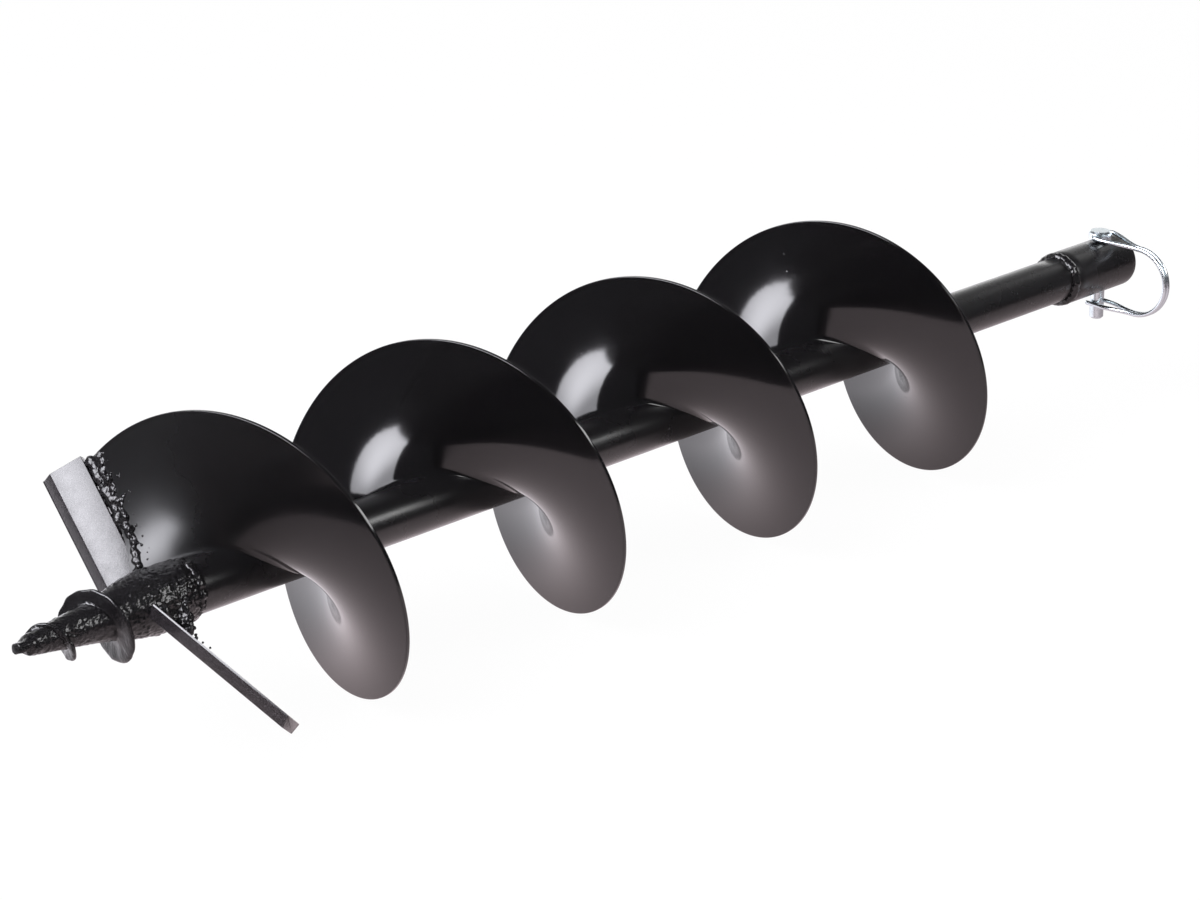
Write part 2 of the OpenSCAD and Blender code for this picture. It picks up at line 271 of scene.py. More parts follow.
def around(angle, radius, x):
    """A point at an angle round the axis, which runs from +Y over +Z."""
    a = math.radians(angle)
    return Vector((x, radius * math.cos(a), radius * math.sin(a)))


def closed_loop(bm, points):
    """Adds a ring of edges through points and returns its vertices and edges."""
    verts = [bm.verts.new(p) for p in points]
    edges = [bm.edges.new((verts[i - 1], verts[i])) for i in range(len(verts))]
    return verts + edges


def close_up(bm):
    """Fills what is still open and turns all faces outwards."""
    bmesh.ops.remove_doubles(bm, verts=bm.verts, dist=1e-7)
    bmesh.ops.holes_fill(bm, edges=[e for e in bm.edges if e.is_boundary])
    bmesh.ops.recalc_face_normals(bm, faces=bm.faces)


def plate_section(angle):
    """Section of the plate at one angle: paint fills the corner at the root, and the rim is
    rounded by the press and the paint."""
    root, fillet = tube_radius - 0.15 * mm, 3.2 * mm
    turns = [math.radians(10 * i) for i in range(9)]
    side = [(fillet * (1 - math.sin(t)), root + fillet * (1 - math.cos(t))) for t in turns]
    flat_start, flat_end = root + fillet, rim_radius - 1.2 * mm
    side += [(0, flat_start + (flat_end - flat_start) * (i / 22) ** 1.3) for i in range(23)]
    side = [(slope_thick(r) / 2 + dx, r) for dx, r in side]
    half = slope_thick(rim_radius) / 2
    corner = 0.45 * half
    side += [(half - corner * (1 - math.cos(t)), rim_radius - corner * (1 - math.sin(t)))
             for t in [math.radians(15 * i) for i in range(7)]]
    front = [around(angle, r, helix_x(angle) - dx) for dx, r in side]
    rear = [around(angle, r, helix_x(angle) + dx) for dx, r in reversed(side)]
    return front + rear


def flight_plate(name, start, end, chord=False):
    """One turn of plate between two angles; chord cuts its lower end straight."""
    steps = round((end - start) / 2)
    bm = bmesh.new()
    section = closed_loop(bm, plate_section(start))
    bmesh.ops.spin(bm, geom=section, cent=(0, 0, 0), axis=(1, 0, 0),
                   dvec=(pitch * (end - start) / 360 / steps, 0, 0),
                   angle=math.radians(end - start), steps=steps)
    if chord:
        bmesh.ops.holes_fill(bm, edges=[e for e in bm.edges if e.is_boundary])
        reach = helix_x(start + 180)
        low_end = [v for v in bm.verts if v.co.x < reach]
        edges = list({e for v in low_end for e in v.link_edges})
        faces = list({f for v in low_end for f in v.link_faces})
        normal = around(chord_angle, 1, 0)
        bmesh.ops.bisect_plane(bm, geom=low_end + edges + faces, plane_co=normal * chord_offset,
                               plane_no=normal, clear_outer=True)
    close_up(bm)
    for v in bm.verts:
        angle = (v.co.x - helix_start) / pitch * 360
        v.co.x += plate_x(angle, math.hypot(v.co.y, v.co.z)) - helix_x(angle)
    return piece_from(bm, name, 35)


flight_plates = [flight_plate("flight_plate_1", chord_angle, first_seam, chord=True)]
for k in range(3):
    flight_plates.append(flight_plate(f"flight_plate_{k + 2}", first_seam + 360 * k,
                                      first_seam + 360 * (k + 1)))


# Stoved gloss enamel, dipped thick: almost black, with the faint roll of a film that
# levelled by itself, a little haze, and now and then a nib of dust. The scale of a pattern
# is written as its waves per millimetre.
def gloss_enamel(name, colour, roughness, roll, grain, nibs=0.0, dull=0.0):
    """roll is the height of the orange peel and grain the size of its waves, in metres. nibs
    is how far specks of dust stand out of it, in rolls. dull is the roughness added next to
    the blade, where the welding spoiled the film."""
    material, tree = new_material(name)
    place = add(tree, "TexCoord").outputs["Object"]
    waves = add(tree, "TexNoise", {"Vector": place, "Scale": 1 / grain, "Detail": 2.0,
                                   "Roughness": 0.4})
    sag = add(tree, "TexNoise", {"Vector": place, "Scale": 1 / (9 * grain), "Detail": 1.0})
    height = add(tree, "Math", {0: sag.outputs[0], 1: 3.0, 2: waves.outputs[0]},
                 operation="MULTIPLY_ADD").outputs[0]
    if nibs:
        dust = add(tree, "TexVoronoi", {"Vector": place, "Scale": 0.055 / mm})
        nib = add(tree, "MapRange", {"Value": dust.outputs["Distance"], "From Min": 0.0,
                                     "From Max": 0.03, "To Min": nibs, "To Max": 0.0})
        height = add(tree, "Math", {0: nib.outputs[0], 1: height}, operation="ADD").outputs[0]
    bump = add(tree, "Bump", {"Height": height, "Distance": roll, "Strength": 1.0})
    haze = add(tree, "TexNoise", {"Vector": place, "Scale": 0.06 / mm, "Detail": 4.0})
    rough = add(tree, "MapRange", {"Value": haze.outputs[0], "From Min": 0.3, "From Max": 0.7,
                                   "To Min": roughness * 0.85,
                                   "To Max": roughness * 1.15}).outputs[0]
    if dull:
        x = add(tree, "SeparateXYZ", {0: place}).outputs["X"]
        spoilt = add(tree, "MapRange", {"Value": x, "From Min": -705 * mm, "From Max": -655 * mm,
                                        "To Min": dull, "To Max": 0.0},
                     interpolation_type="SMOOTHSTEP")
        rough = add(tree, "Math", {0: spoilt.outputs[0], 1: rough}, operation="ADD").outputs[0]
    film = add(tree, "BsdfPrincipled", {"Base Color": srgb(colour), "IOR": 1.5,
                                        "Roughness": rough, "Normal": bump.outputs[0]})
    add(tree, "OutputMaterial", {"Surface": film.outputs[0]})
    return material


plate_enamel = gloss_enamel("gloss black enamel on plate", "#0b0a0b", 0.1, 0.01 * mm, 4 * mm,
                            nibs=9.0, dull=0.2)
for k, piece in enumerate(flight_plates):
    piece.data.materials.append(plate_enamel)
    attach(piece, "auger")
    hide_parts(f"flight_turn_{k + 1}")


# ---- Welds of the flight ----
# Each turn's plate is butt welded to the next, and the bead is knocked down to a low strip.
# Stitch welds hold the root to the tube, on the side of the flight that faces the socket.
def round_bar(name, rings, sides, place):
    """A closed round bar whose every point is put in place by its station and its section."""
    bm = bmesh.new()
    bmesh.ops.create_cone(bm, cap_ends=True, segments=sides, radius1=1, radius2=1, depth=1)
    along = [e for e in bm.edges if abs(e.verts[0].co.z - e.verts[1].co.z) > 0.5]
    bmesh.ops.subdivide_edges(bm, edges=along, cuts=rings, use_grid_fill=True)
    for v in bm.verts:
        v.co = place(v.co.z + 0.5, v.co.x, v.co.y)
    bmesh.ops.recalc_face_normals(bm, faces=bm.faces)
    return piece_from(bm, name, 50)


def seam_point(seam):
    """Places the points of a low strip that runs from root to rim on both faces."""
    def place(t, across, up):
        radius = tube_radius + 0.1 * mm + t * 62 * mm
        crown = (0.4 + 0.1 * math.sin(t * 200 + 5 * across * across)) * mm * (1 - across ** 2)
        rise = slope_thick(radius) / 2 * min(1, 3 * abs(up)) + crown * abs(up)
        angle = seam + math.degrees(across * 2.6 * mm / radius)
        return around(angle, radius, plate_x(angle, radius) + math.copysign(rise, up))
    return place


def stitch_point(middle_angle, seed):
    """Places the points of a rippled bead along the root, tapered at both ends."""
    def place(t, across, up):
        angle = middle_angle + 52 * (t - 0.5)
        ripple = 1 + 0.10 * abs(math.sin(t * 22)) + 0.06 * noise.noise(Vector((t * 9, seed, 0)))
        leg = 2.6 * mm * ripple * (0.35 + 0.65 * min(1, 8 * t, 8 * (1 - t)) ** 0.5)
        x = plate_x(angle, tube_radius) + slope_thick(tube_radius) / 2
        return around(angle, tube_radius + 0.3 * mm + leg * across, x + 0.2 * mm + leg * up)
    return place


# The beads are enamelled with the rest, so they shine, but their ripples break the shine up.
weld_enamel = gloss_enamel("gloss enamel over weld", "#121112", 0.16, 0.06 * mm, 1.2 * mm)
for k in range(3):
    seam = round_bar(f"seam_weld_{k + 1}", 90, 20, seam_point(first_seam + 360 * k))
    seam.data.materials.append(weld_enamel)
    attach(seam, "auger")
    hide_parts("flight_seam_welds")
for turn in range(4):
    start, end = first_seam + 360 * (turn - 1), first_seam + 360 * turn
    if turn == 0:
        start, end = 57.5, 337.5
    for k in range(3):
        middle_angle = start + (end - start) * (k + 0.5) / 3
        stitch = round_bar(f"root_stitch_{turn + 1}_{k + 1}", 70, 14,
                           stitch_point(middle_angle, turn * 3 + k))
        stitch.data.materials.append(weld_enamel)
        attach(stitch, "auger")
        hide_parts(f"root_weld_{turn + 1}")


# ---- Tube and sleeve ----
# Drawn steel tube, 25 x 2.5 mm, with a 30 mm sleeve over its drive end. Both are drilled
# across together for the lock pin, and the bore is relieved round that hole.
def turned(name, outline, steps, smooth_angle):
    """Turns a closed outline of (x, radius) points about the bit's axis."""
    bm = bmesh.new()
    section = closed_loop(bm, [(x, 0, r) for x, r in outline])
    bmesh.ops.spin(bm, geom=section, cent=(0, 0, 0), axis=(1, 0, 0), angle=math.tau, steps=steps,
                   use_merge=True)
    close_up(bm)
    return piece_from(bm, name, smooth_angle)


def worked_mesh(piece):
    """The mesh that a piece has after its modifiers."""
    graph = bpy.context.evaluated_depsgraph_get()
    return bpy.data.meshes.new_from_object(piece.evaluated_get(graph))


def drill_through(piece, drill):
    """Drills a piece, and leaves the result as its own mesh."""
    cut = piece.modifiers.new("hole", "BOOLEAN")
    cut.operation = "DIFFERENCE"
    cut.object = drill
    cut.solver = "EXACT"
    mesh = worked_mesh(piece)
    piece.modifiers.clear()
    piece.data = mesh


pin_x = -16 * mm
hole_radius = 4.1 * mm
bm = bmesh.new()
bmesh.ops.create_cone(bm, cap_ends=True, segments=48, radius1=hole_radius, radius2=hole_radius,
                      depth=60 * mm)
bmesh.ops.translate(bm, verts=bm.verts, vec=(pin_x, 0, 0))
drill = piece_from(bm, "drill")

# The outlines are (x, radius) pairs in millimetres, from the socket's mouth.
tube = turned("tube", [(x * mm, r * mm) for x, r in (
    (-732, 10), (-732, 12.3), (-731.8, 12.5), (-600, 12.5), (-400, 12.5), (-200, 12.5), (-80, 12.5),
    (-0.4, 12.5), (0, 12.5), (0, 10.4), (-0.4, 10), (-11, 10), (-11, 10.4), (-21, 10.4),
    (-21, 10), (-200, 10))], 128, 30)
sleeve = turned("sleeve", [(x * mm, r * mm) for x, r in (
    (-56, 12.5), (-56, 14.6), (-55.88, 14.88), (-55.6, 15), (-50, 15), (-30, 15), (-5, 15),
    (-0.9, 15), (-0.45, 14.88), (-0.12, 14.55), (0, 14.1), (0, 12.5), (-20, 12.5))], 128, 30)
for piece, node in ((tube, "main_tube"), (sleeve, "coupling_sleeve")):
    drill_through(piece, drill)
    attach(piece, "auger")
    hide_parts(node)
bpy.data.objects.remove(drill)

# The drawn tube's die lines show faintly through the enamel, so its shine is softer. They
# are drawn 2.4 mm apart, coarser than the real ones, so that they show.
tube_enamel, tree = new_material("gloss black enamel on drawn tube")
place = add(tree, "TexCoord").outputs["Object"]
along = add(tree, "Mapping", {"Vector": place, "Scale": (0.012 / mm, 0.42 / mm, 0.42 / mm)})
lines = add(tree, "TexNoise", {"Vector": along.outputs[0], "Scale": 1.0, "Detail": 3.0})
waves = add(tree, "TexNoise", {"Vector": place, "Scale": 0.28 / mm, "Detail": 2.0})
height = add(tree, "Math", {0: lines.outputs[0], 1: 1.5, 2: waves.outputs[0]},
             operation="MULTIPLY_ADD")
bump = add(tree, "Bump", {"Height": height.outputs[0], "Distance": 0.006 * mm, "Strength": 1.0})
haze = add(tree, "TexNoise", {"Vector": place, "Scale": 0.045 / mm, "Detail": 4.0})
rough = add(tree, "MapRange", {"Value": haze.outputs[0], "From Min": 0.3, "From Max": 0.7,
                               "To Min": 0.24, "To Max": 0.31})
film = add(tree, "BsdfPrincipled", {"Base Color": srgb("#121112"), "IOR": 1.5,
                                    "Roughness": rough.outputs[0], "Normal": bump.outputs[0]})
add(tree, "OutputMaterial", {"Surface": film.outputs[0]})
for piece in (tube, sleeve):
    piece.data.materials.append(tube_enamel)


# ---- Weld behind the sleeve ----
# One run of weld closes the step between the sleeve and the tube. It was laid in short dabs
# as the tube was turned, so the ring is rippled and swells where the dabs overlap.
def molten(name, bm, voxel, enamel, pitted=0.0):
    """Joins overlapping drops into one skin, as metal that ran together; pitted is how deep
    its pits are, in metres."""
    piece = piece_from(bm, name)
    skin = piece.modifiers.new("one skin", "REMESH")
    skin.mode = "VOXEL"
    skin.voxel_size = voxel
    skin.use_smooth_shade = True
    soften = piece.modifiers.new("flow", "SMOOTH")
    soften.iterations = 1
    mesh = worked_mesh(piece)
    piece.modifiers.clear()
    piece.data = mesh
    pits = [v.normal * pitted * (noise.noise(v.co * 380) + 0.7 * noise.noise(v.co * 900))
            for v in mesh.vertices]
    for v, pit in zip(mesh.vertices, pits):
        v.co += pit
    mesh.shade_smooth()
    piece.data.materials.append(enamel)
    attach(piece, "auger")
    return piece


def drop(bm, place, radius, squash=(1, 1, 1)):
    """Adds one drop of weld metal."""
    bmesh.ops.create_icosphere(bm, subdivisions=3, radius=radius,
                               matrix=Matrix.Translation(place) @ Matrix.Diagonal((*squash, 1)))


dice = random.Random(7)
bm = bmesh.new()
for k in range(64):
    angle = k * 360 / 64
    swell = 2.5 + 0.5 * noise.noise(around(angle, 2, 3).yzx)
    drop(bm, around(angle, (12.6 + 0.15 * dice.random()) * mm, (-57.6 + 0.5 * dice.random()) * mm),
         (swell + 0.25 * dice.random()) * mm, (1.15, 1, 1))
sleeve_bead = molten("sleeve_weld_bead", bm, 0.45 * mm, weld_enamel, 0.25 * mm)
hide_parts("sleeve_weld")


# ---- Pilot ----
# Forged steel pilot: a tapered nose with a flattened spade tip that swells into a hub over
# the tube. The hub is covered with spatter from the welding of the blades.
tip_x = -800 * mm


def between(value, table):
    """Reads a table of (position, value) pairs with straight lines between them."""
    for (p0, v0), (p1, v1) in zip(table, table[1:]):
        if value <= p1:
            t = min(max((value - p0) / (p1 - p0), 0), 1)
            return v0 + (v1 - v0) * t
    return table[-1][1]


# (distance from the tip, radius), in millimetres.
taper = [(0, 2.8), (3, 3.8), (8, 4.8), (15, 5.7), (31, 7.6), (48, 10.3), (62, 13.4), (70, 14.5),
         (80, 14.6), (88, 14.2), (91, 13)]
hub_end = tip_x + 91.5 * mm
outline = [(tip_x, 0.0)]
outline += [(tip_x + d * mm, between(d, taper) * mm)
            for d in [0.4 + 0.8 * i for i in range(114)]]
outline += [(hub_end, 12.4 * mm), (hub_end, 0.0)]
bm = bmesh.new()
verts = [bm.verts.new((x, 0, r)) for x, r in outline]
edges = [bm.edges.new(pair) for pair in zip(verts, verts[1:])]
bmesh.ops.spin(bm, geom=verts + edges, cent=(0, 0, 0), axis=(1, 0, 0), angle=math.tau, steps=80,
               use_merge=True)
close_up(bm)
# The spade tip is hammered flat over its first 5 mm.
turned_up = Matrix.Rotation(math.radians(-20), 3, "X")
for v in bm.verts:
    d = (v.co.x - tip_x) / mm
    flat = max(0, 1 - max(0, d - 5) / 5)
    q = turned_up.inverted() @ v.co
    limit = 2.3 * mm + (1 - flat) * 20 * mm
    if abs(q.z) > limit:
        q.z = math.copysign(limit, q.z)
        v.co = turned_up @ q
# Spatter: most and largest on the hub, where the blades were welded.
crowding = [(-799, 0.5), (-788, 0.3), (-750, 0.25), (-738, 0.8), (-725, 1), (-710, 1)]
largest = [(-799, 0.9), (-750, 1.0), (-730, 1.9)]
dice = random.Random(11)
for _ in range(330):
    x = dice.uniform(-796, -710)
    if dice.random() > between(x, crowding):
        continue
    surface = between(x - tip_x / mm, taper)
    size = between(x, largest) * (0.35 + 0.65 * dice.random() ** 1.5)
    drop(bm, around(dice.uniform(0, 360), (surface - 0.6 * size) * mm, x * mm), size * mm,
         (1.3, 1, 1))
# The forging's scale shows through the enamel and breaks its shine into short glints.
pilot_enamel = gloss_enamel("gloss enamel on forging", "#131213", 0.2, 0.2 * mm, 1.4 * mm)
pilot = molten("pilot", bm, 0.5 * mm, pilot_enamel)
scale_depth = [(0, 0.3), (48, 0.25), (58, 0.35), (98, 0.35)]
for v in pilot.data.vertices:
    wide = math.hypot(v.co.y, v.co.z)
    fine = noise.noise(v.co * 480) + 0.8 * noise.noise(v.co * 950)
    shift = fine * between((v.co.x - tip_x) / mm, scale_depth) + noise.noise(v.co * 150) * 0.2
    if wide > 1 * mm:
        v.co.y *= 1 + shift * mm / wide
        v.co.z *= 1 + shift * mm / wide
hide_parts("pilot_point")


# ---- Pilot screw ----
# Right-hand screw that pulls the bit down: flat bar wound on the nose and welded all along,
# so that it stands on a thick root. Its edge grows from the tip towards the blades.
screw_pitch = 25.5 * mm
screw_start, screw_end = -40, 720
screw_x = tip_x + 8.7 * mm
# (angle, radius of the edge in millimetres).
edge_table = [(-40, 4.5), (0, 6.4), (150, 8.2), (280, 14), (450, 14.4), (640, 22.4), (720, 23)]


def soft_edge(angle):
    """The edge's radius in millimetres, averaged over a third of a turn so that it flows."""
    return sum(between(angle + 12 * k, edge_table) for k in range(-4, 5)) / 9


bm = bmesh.new()
from_middle = bm.verts.layers.float.new("from_middle")
depth = bm.verts.layers.float.new("depth")
# (half thickness in millimetres, share of the height from root to edge).
fin = [(2.2, 0.0), (1.5, 0.12), (1.15, 0.3), (1.0, 0.55), (0.95, 0.8), (0.8, 0.92), (0.45, 0.985),
       (0, 1.0)]
fin += [(-half, up) for half, up in reversed(fin[:-1])]
section = []
for half, up in fin:
    x = screw_x + screw_pitch * screw_start / 360 + half * mm
    v = bm.verts.new(around(screw_start, (5 + 5 * up) * mm, x))
    v[from_middle] = half * mm
    v[depth] = up
    section.append(v)
edges = [bm.edges.new((section[i - 1], section[i])) for i in range(len(section))]
steps = 190
bmesh.ops.spin(bm, geom=section + edges, cent=(0, 0, 0), axis=(1, 0, 0),
               dvec=(screw_pitch * (screw_end - screw_start) / 360 / steps, 0, 0),
               angle=math.radians(screw_end - screw_start), steps=steps)
sunk = 0.8
for v in bm.verts:
    middle_x = v.co.x - v[from_middle]
    angle = (middle_x - screw_x) / screw_pitch * 360
    surface = between((middle_x - tip_x) / mm, taper)
    fade = min(1, (angle - screw_start + 5) / 100) ** 0.5 * min(1, 0.15 + (screw_end - angle) / 60)
    edge = surface + max(0, soft_edge(angle) - surface) * fade
    root = surface - sunk
    radius = root + (edge - root) * v[depth]
    v.co = around(angle, radius * mm, v.co.x)
    v.co += Vector([noise.noise(v.co * 260 + Vector((5, k, 0))) for k in (0, 7, 13)]) * 0.4 * mm
close_up(bm)
screw = piece_from(bm, "pilot_screw_fin", 60)
screw.data.materials.append(pilot_enamel)
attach(screw, "auger")
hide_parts("pilot_screw")


# ---- Cutter blades ----
# Two pieces of flat bar, 21 x 5 mm, with a chisel bevel ground on the leading edge. One sits
# on the flight's lower edge, the other is butted on the hub.
blade_width = 21.3 * mm
blade_thick = 5.3 * mm


def blade_place(heel_x, turn, offset, slant, lean):
    """From a blade's own frame, X through its thickness, Y along it and Z across it, to the
    bit's: turned about the bit's axis, set off from it, slanted back and leant forward."""
    return (Matrix.Translation((heel_x * mm, 0, 0)) @ Matrix.Rotation(math.radians(turn), 4, "X")
            @ Matrix.Translation((0, 0, -offset * mm))
            @ Matrix.Rotation(math.radians(-slant), 4, "Z")
            @ Matrix.Rotation(math.radians(lean), 4, "Y"))


place_a = blade_place(heel_x=-714.1, turn=46.7, offset=14.55, slant=3.2, lean=40.4)
place_b = blade_place(heel_x=-729.3, turn=208.7, offset=-5.1, slant=10.6, lean=46.6)


def cut_bar(name, outline, place, node):
    """Cuts a bar from its outline, grinds its front edge at 45 degrees through the whole
    thickness, and breaks all its edges."""
    bm = bmesh.new()
    flat = bm.faces.new([bm.verts.new((0, y * mm, z * mm)) for y, z in outline])
    solid = bmesh.ops.extrude_face_region(bm, geom=[flat])
    moved = [g for g in solid["geom"] if isinstance(g, bmesh.types.BMVert)]
    bmesh.ops.translate(bm, verts=moved, vec=(blade_thick, 0, 0))
    outwards = Matrix.Rotation(math.radians(45), 3, "Y") @ Vector((0, 0, -1))
    bmesh.ops.bisect_plane(bm, geom=bm.verts[:] + bm.edges[:] + bm.faces[:],
                           plane_co=(0, 0, blade_thick - blade_width), plane_no=outwards,
                           clear_outer=True)
    bmesh.ops.holes_fill(bm, edges=[e for e in bm.edges if e.is_boundary])
    bmesh.ops.recalc_face_normals(bm, faces=bm.faces)
    bmesh.ops.dissolve_limit(bm, angle_limit=math.radians(1), verts=bm.verts, edges=bm.edges)
    bmesh.ops.bevel(bm, geom=bm.edges[:], offset=0.35 * mm, offset_type="OFFSET", segments=3,
                    profile=0.5, affect="EDGES", material=-1, clamp_overlap=True)
    bmesh.ops.transform(bm, matrix=place, verts=bm.verts)
    bmesh.ops.recalc_face_normals(bm, faces=bm.faces)
    piece = piece_from(bm, name, 25)
    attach(piece, "auger")
    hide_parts(node)
    return piece


width = blade_width / mm
blade_a = cut_bar("cutter_plate_a", [(77.7, 0), (7, 0), (4, -width), (77.7, -width)],
                  place_a, "cutter_blade_a")
blade_b = cut_bar("cutter_plate_b", [(85.6, 0), (9, 0), (9, -width), (85.6, -width)],
                  place_b, "cutter_blade_b")

# The bar's mill skin shows through a thin coat as satin mottling with fine specks.
cutter_enamel, tree = new_material("thin gloss enamel on flat bar")
place = add(tree, "TexCoord").outputs["Object"]
mottle = add(tree, "TexNoise", {"Vector": place, "Scale": 0.17 / mm, "Detail": 5.0,
                                "Roughness": 0.6})
specks = add(tree, "TexNoise", {"Vector": place, "Scale": 0.9 / mm, "Detail": 2.0})
rough = add(tree, "MapRange", {"Value": mottle.outputs[0], "From Min": 0.35, "From Max": 0.65,
                               "To Min": 0.2, "To Max": 0.27})
height = add(tree, "Math", {0: mottle.outputs[0], 1: 2.0, 2: specks.outputs[0]},
             operation="MULTIPLY_ADD")
bump = add(tree, "Bump", {"Height": height.outputs[0], "Distance": 0.018 * mm, "Strength": 1.0})
tone = add(tree, "MapRange", {"Value": specks.outputs[0], "From Min": 0.35, "From Max": 0.65})
colour = add(tree, "Mix", {"Factor": tone.outputs[0], "A": srgb("#161416"), "B": srgb("#2a2729")},
             data_type="RGBA")
film = add(tree, "BsdfPrincipled", {"Base Color": colour.outputs["Result"], "IOR": 1.55,
                                    "Roughness": rough.outputs[0], "Normal": bump.outputs[0]})
add(tree, "OutputMaterial", {"Surface": film.outputs[0]})
for piece in (blade_a, blade_b):
    piece.data.materials.append(cutter_enamel)


# ---- Welds of the blades and hub ----
# Laid by hand and left as they fell: a lumpy bead with stray drops between blade A and the
# flight, a mass behind blade B, a short bead on the hub, and a ring where the tube enters it.
def bead_run(bm, points, step, spread, dice):
    """Lays drops along a run of (place, radius) points in millimetres, a little off line."""
    for (p0, r0), (p1, r1) in zip(points, points[1:]):
        p0, p1 = Vector(p0), Vector(p1)
        count = max(1, round((p1 - p0).length / step))
        for i in range(count + 1):
            t = i / count
            stray = Vector([dice.uniform(-1, 1) for _ in range(3)]) * spread
            size = (r0 + (r1 - r0) * t) * dice.uniform(0.78, 1.08)
            drop(bm, (p0.lerp(p1, t) + stray) * mm, size * mm)


def in_bar(place, points):
    """Moves (place, radius) points from a blade's own frame to the bit's, in millimetres."""
    return [((place @ (Vector(p) * mm)) / mm, r) for p, r in points]


def on_plate(distance, along, lift):
    """A point on the flight's front face, given from its chord, in millimetres."""
    a = math.radians(chord_angle)
    out, up = Vector((0, math.cos(a), math.sin(a))), Vector((0, -math.sin(a), math.cos(a)))
    p = (out * (chord_offset / mm - distance) + up * along) * mm
    angle = math.degrees(math.atan2(p.z, p.y))
    radius = math.hypot(p.y, p.z)
    return Vector((plate_x(angle, radius) - slope_thick(radius) / 2 - lift * mm, p.y, p.z)) / mm


# Enamel bridges the spatter unevenly, so it glitters in points and has dull hollows.
rough_enamel = gloss_enamel("gloss enamel over spatter", "#121112", 0.24, 0.1 * mm, 1.2 * mm)
dice = random.Random(23)
bm = bmesh.new()
run = in_bar(place_a, [((2.6, 13, 3.2), 3.5), ((2.6, 40, 3.2), 3.5), ((2.6, 73, 3.1), 3.4)])
bead_run(bm, run, 2.0, 0.6, dice)
bead_run(bm, [(on_plate(2.8, s, -1.2), 2.2) for s in range(18, 73, 6)], 1.6, 1.0, dice)
for _ in range(70):
    reach = dice.random() ** 2
    drop(bm, on_plate(3.5 + 7 * reach, dice.uniform(14, 73), -0.25) * mm,
         dice.uniform(0.35, 1.0) * (1.1 - 0.5 * reach) * mm)
weld_a = molten("cutter_bead_a", bm, 0.5 * mm, rough_enamel, 0.45 * mm)
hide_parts("cutter_weld_a")

bm = bmesh.new()
run = in_bar(place_b, [((5.3, 12, -14), 3.0), ((5.3, 13, -8), 3.2), ((6.5, 15, -5), 3.4),
                       ((9.5, 18, -4), 3.2), ((5.8, 23, -5), 2.5), ((9, 15, -3), 3.3),
                       ((13.8, 13, -3), 3.0)])
bead_run(bm, run, 1.8, 0.5, dice)
strays = in_bar(place_b, [((6.0, 29.5, 0.4), 0.75), ((6.1, 33.2, 0.9), 0.6),
                          ((5.6, 26.5, -1.5), 0.9), ((8.2, 22.5, -1.0), 1.1),
                          ((6.5, 25.0, -0.5), 0.8)])
for place, size in strays:
    drop(bm, place * mm, size * mm)
weld_b = molten("cutter_bead_b", bm, 0.45 * mm, rough_enamel, 0.45 * mm)
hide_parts("cutter_weld_b")

bm = bmesh.new()
run = in_bar(place_a, [((3.0, 6.5, -17), 2.6), ((2.6, 8, -12), 3.0), ((2.6, 8, -4), 3.2),
                       ((2.4, 9, 2), 3.4), ((2, 10, 7), 3.5)])
bead_run(bm, run, 1.8, 0.5, dice)
hub_bead = molten("hub_bead", bm, 0.45 * mm, rough_enamel, 0.35 * mm)
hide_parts("cutter_hub_weld")

ring_x = -709
bm = bmesh.new()
for k in range(60):
    angle = k * 6 + dice.uniform(-2, 2)
    radius = (12.3 + 0.4 * dice.random()) * mm
    x = (ring_x + dice.uniform(-0.7, 0.7)) * mm
    drop(bm, around(angle, radius, x), dice.uniform(1.2, 2.2) * mm, (1.35, 1, 1))
hub_ring = molten("hub_ring_bead", bm, 0.45 * mm, rough_enamel, 0.35 * mm)
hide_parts("pilot_hub_weld")


# ---- Lock pin ----
# Turned steel pin, 8 mm, with a disc head that is drilled across for the bail, zinc plated
# bright. It rides in the sleeve's cross hole.

# Bright zinc is a bluish white metal. Turning marks run round the pin, drawn 0.4 mm apart so
# that they show, and a bloom from the plating bath dulls it in patches.
zinc, tree = new_material("bright zinc plate on turned steel")
place = add(tree, "TexCoord").outputs["Object"]
centred = add(tree, "Mapping", {"Vector": place, "Location": (-pin_x, 0, 0)})
rings = add(tree, "Mapping", {"Vector": centred.outputs[0],
                              "Scale": (0.06 / mm, 0.06 / mm, 2.6 / mm)})
marks = add(tree, "TexNoise", {"Vector": rings.outputs[0], "Scale": 1.0, "Detail": 2.0})
bloom = add(tree, "TexNoise", {"Vector": place, "Scale": 0.35 / mm, "Detail": 4.0})
tone = add(tree, "Mix", {"Factor": bloom.outputs[0], "A": srgb("#dfe7ea"), "B": srgb("#c3ccd2")},
           data_type="RGBA")
rough = add(tree, "MapRange", {"Value": bloom.outputs[0], "From Min": 0.3, "From Max": 0.7,
                               "To Min": 0.2, "To Max": 0.32})
bump = add(tree, "Bump", {"Height": marks.outputs[0], "Distance": 0.01 * mm, "Strength": 1.0})
film = add(tree, "BsdfPrincipled", {"Base Color": tone.outputs["Result"], "Metallic": 1.0,
                                    "Roughness": rough.outputs[0], "Normal": bump.outputs[0]})
add(tree, "OutputMaterial", {"Surface": film.outputs[0]})
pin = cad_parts["lock_pin"]
pin.data.materials.clear()
pin.data.materials.append(zinc)


# ---- Bail ----
# One length of 2.5 mm spring wire: hinged in the pin's head, bent double into a loop, and
# open at its two ends, which straddle the pin below the sleeve. Zinc plated like the pin.
# Lengths are in millimetres from the pin's axis. The strands run side by side, pair_x from the
# middle, round the loop, and part to fork_x beside the pin.
wire_radius = 1.25 * mm
hinge_z, elbow_x, elbow_r = 17.7, 6.7, 2.4
loop_y, loop_z, loop_r, loop_turn = -26.6, -5.0, 19.2, 184.5
pair_x, fork_x, fork_reach = 1.45, 5.6, 3.4
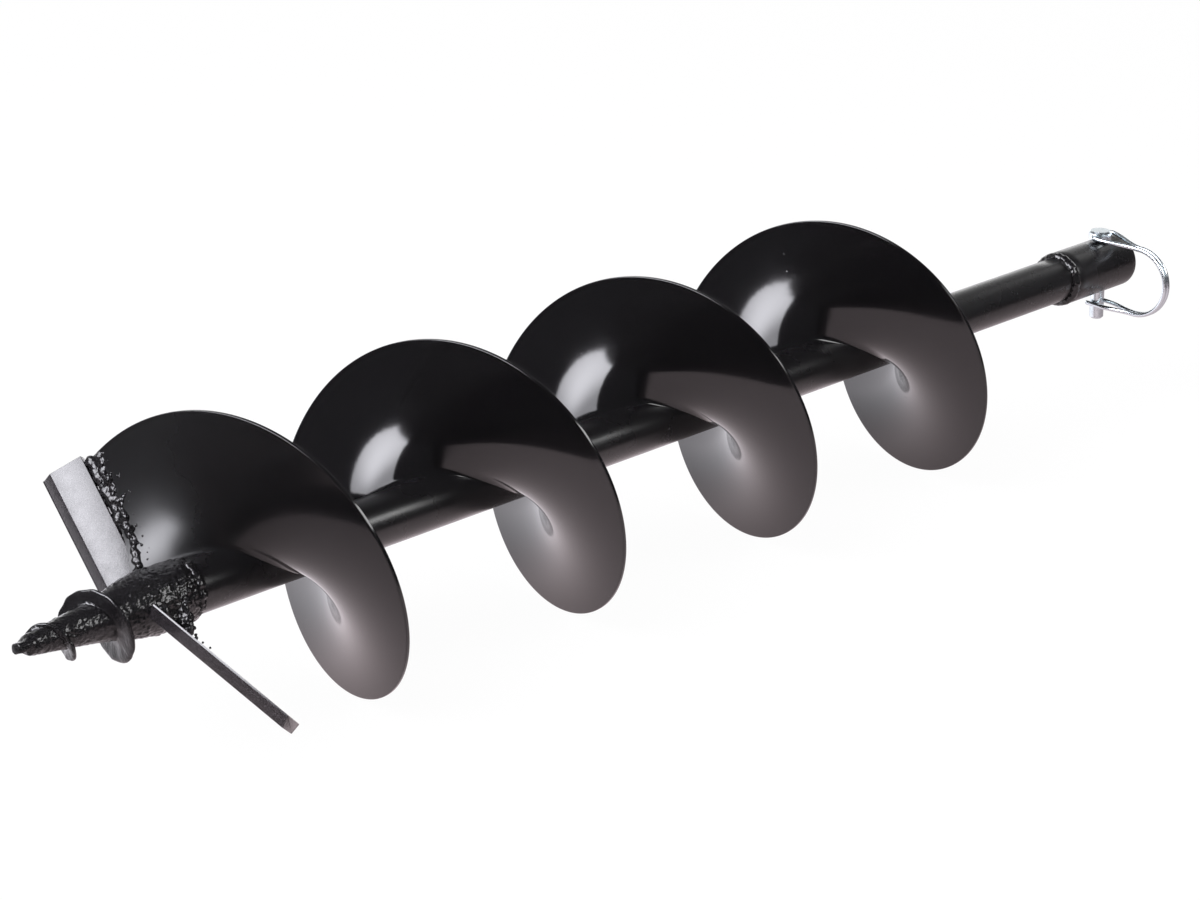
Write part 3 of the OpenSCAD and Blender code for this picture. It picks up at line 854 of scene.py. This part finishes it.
# Out of the head, and round the elbow.
half = [(0, 0, hinge_z), (3, 0, hinge_z), (elbow_x - 0.6, 0, hinge_z)]
half += [(elbow_x + elbow_r * math.sin(a), -elbow_r * (1 - math.cos(a)), hinge_z)
         for a in [math.radians(11.25 * i) for i in range(9)]]
# Down to the loop, where the two strands come together.
for i in range(1, 20):
    y = -elbow_r + (loop_y + elbow_r) * i / 20
    wide = elbow_x + elbow_r + (pair_x - elbow_x - elbow_r) * ease(i / 20)
    half.append((wide, y, hinge_z + (loop_z + loop_r - hinge_z) * i / 20))
# Round the loop, and out to the fork's open end.
for i in range(42):
    a = math.radians(loop_turn * i / 41)
    half.append((pair_x, loop_y - loop_r * math.sin(a), loop_z + loop_r * math.cos(a)))
end_turn = math.radians(loop_turn - 180)
for i in range(1, 21):
    y = loop_y + 2 + (fork_reach - loop_y - 2) * i / 20
    wide = pair_x + (fork_x - pair_x) * ease((y - loop_y - 2) / 20)
    half.append((wide, y, loop_z - loop_r * math.cos(end_turn)
                 + (y - loop_y - loop_r * math.sin(end_turn)) * math.tan(end_turn)))
path = [(-x, y, z) for x, y, z in reversed(half[1:])] + half
curve = bpy.data.curves.new("bail", "CURVE")
curve.dimensions = "3D"
curve.bevel_depth = wire_radius
curve.bevel_resolution = 6
curve.use_fill_caps = True
line = curve.splines.new("POLY")
line.points.add(len(path) - 1)
for point, (x, y, z) in zip(line.points, path):
    point.co = (pin_x + x * mm, y * mm, z * mm, 1)
drawn = linked("bail_line", curve)
mesh = worked_mesh(drawn)
bpy.data.objects.remove(drawn)
mesh.shade_smooth()
bail = linked("bail", mesh)

# Wire that was drawn before it was plated is brighter than turned steel, with the same bloom.
wire_zinc, tree = new_material("bright zinc plate on drawn wire")
place = add(tree, "TexCoord").outputs["Object"]
bloom = add(tree, "TexNoise", {"Vector": place, "Scale": 0.42 / mm, "Detail": 4.0})
rough = add(tree, "MapRange", {"Value": bloom.outputs[0], "From Min": 0.3, "From Max": 0.7,
                               "To Min": 0.2, "To Max": 0.3})
bump = add(tree, "Bump", {"Height": bloom.outputs[0], "Distance": 0.01 * mm, "Strength": 1.0})
film = add(tree, "BsdfPrincipled", {"Base Color": srgb("#dce4e9"), "Metallic": 1.0,
                                    "Roughness": rough.outputs[0], "Normal": bump.outputs[0]})
add(tree, "OutputMaterial", {"Surface": film.outputs[0]})
bail.data.materials.append(wire_zinc)
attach(bail, "bail")
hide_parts("bail_wire")
